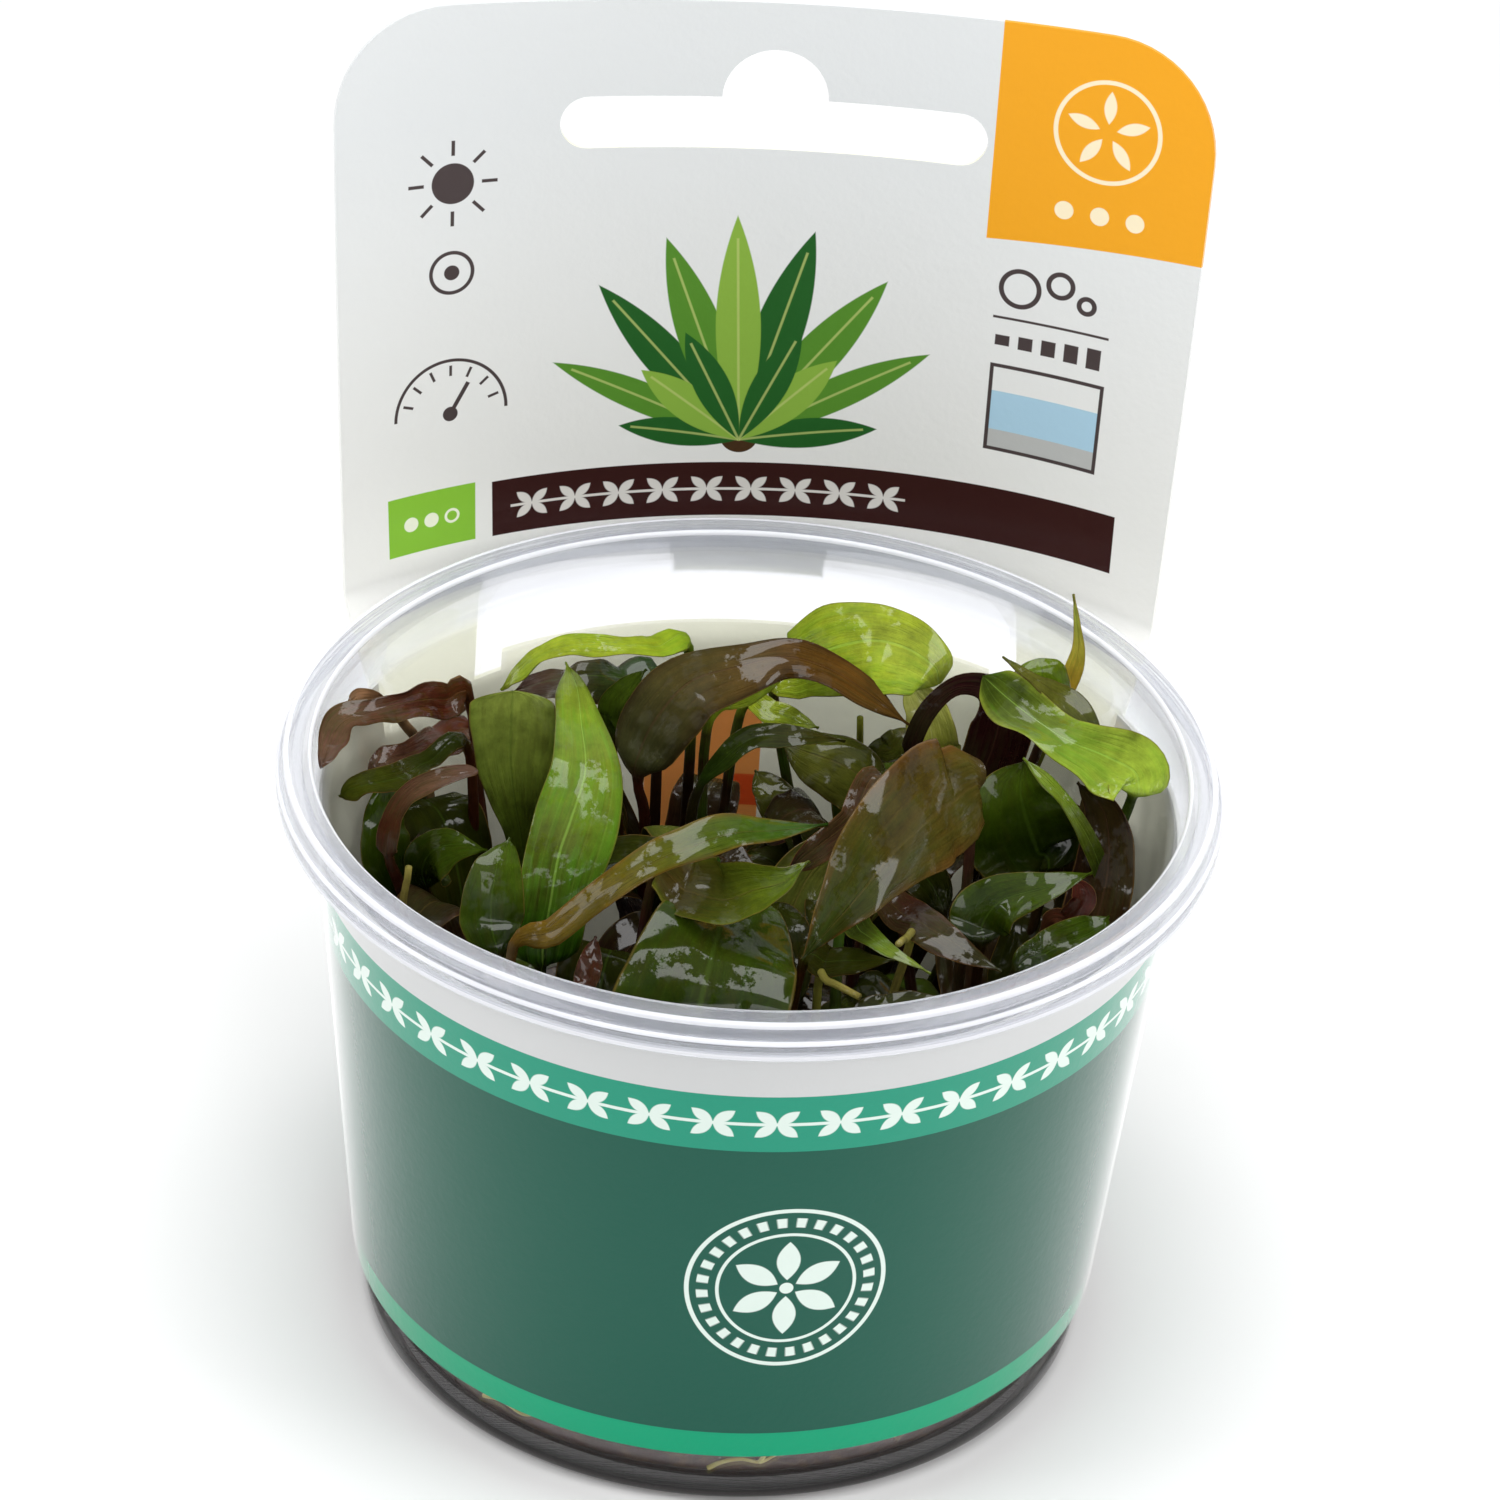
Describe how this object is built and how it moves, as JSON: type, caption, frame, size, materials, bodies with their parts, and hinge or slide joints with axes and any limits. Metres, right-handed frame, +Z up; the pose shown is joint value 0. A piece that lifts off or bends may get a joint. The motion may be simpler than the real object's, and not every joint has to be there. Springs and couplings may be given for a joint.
{
  "type": "potted cryptocoryne plantlets",
  "caption": "Clear culture cup of small purple-green aquarium plantlets on dark gel, wrapped in a printed sleeve with a tall hang tag.",
  "frame": {"origin": "centre of the cup's flat underside", "axes": "+Z up along the cup's axis, +Y towards the hang tag at the back, +X to the right seen from the front"},
  "size_m": [0.08, 0.0812, 0.1054],
  "materials": {
    "crown": "brown rhizome stub, fibrous",
    "growing_gel": "dark brown set gel, moist",
    "clear_cup": "clear, glossy, faint lavender tint",
    "printed_sheet": "satin printed plastic film, pale with green bands",
    "leaf_green": "wet, glossy, veined mid to dark green",
    "leaf_purple": "wet, glossy, purple-brown",
    "leaf_olive": "wet, glossy, olive with brown margins",
    "leaf_bright": "wet, glossy, veined bright green",
    "leaf_yellow": "wet, pale yellow-green, translucent"
  },
  "bodies": {
    "root": {"crown_back": "crown", "crown_back_right": "crown", "crown_front": "crown", "crown_front_left": "crown", "crown_left": "crown", "crown_right": "crown", "culture_gel": "growing_gel", "cup": "clear_cup", "label_sleeve": "printed_sheet", "leaf_arch_lining": "leaf_green", "leaf_back_arch": "leaf_purple", "leaf_back_long": "leaf_green", "leaf_back_low": "leaf_green", "leaf_back_shoot": "leaf_green", "leaf_back_small": "leaf_purple", "leaf_back_strap": "leaf_purple", "leaf_boat": "leaf_green", "leaf_deep_left": "leaf_green", "leaf_deep_right": "leaf_green", "leaf_folded_flap": "leaf_olive", "leaf_front_broad": "leaf_green", "leaf_front_brown": "leaf_olive", "leaf_front_dark": "leaf_green", "leaf_front_oval": "leaf_green", "leaf_front_pointed": "leaf_bright", "leaf_front_red": "leaf_purple", "leaf_front_shiny": "leaf_green", "leaf_hero_bright": "leaf_bright", "leaf_hero_folded": "leaf_olive", "leaf_left_brown": "leaf_olive", "leaf_left_cut_stalk": "leaf_yellow", "leaf_left_long": "leaf_green", "leaf_left_low": "leaf_green", "leaf_left_strap": "leaf_olive", "leaf_left_tall": "leaf_green", "leaf_left_wall": "leaf_green", "leaf_lime_round": "leaf_bright", "leaf_long_diagonal": "leaf_olive", "leaf_middle_back": "leaf_green", "leaf_middle_front": "leaf_green", "leaf_middle_left": "leaf_green", "leaf_middle_right": "leaf_green", "leaf_olive_hood": "leaf_olive", "leaf_olive_inner": "leaf_olive", "leaf_olive_low": "leaf_olive", "leaf_pale_yellow": "leaf_yellow", "leaf_purple_arch": "leaf_purple", "leaf_right_broad": "leaf_green", "leaf_right_curl": "leaf_purple", "leaf_right_dark": "leaf_green", "leaf_right_edge": "leaf_bright", "leaf_right_front": "leaf_olive", "leaf_right_narrow": "leaf_bright", "leaf_right_serrated": "leaf_green", "leaf_right_wavy": "leaf_bright", "leaf_round_dark": "leaf_purple", "leaf_upright_tip": "leaf_bright", "leaf_wall_brown": "leaf_purple", "leaf_wall_tan": "leaf_olive", "leaf_young_shoot": "leaf_yellow"}
  },
  "joints": []
}
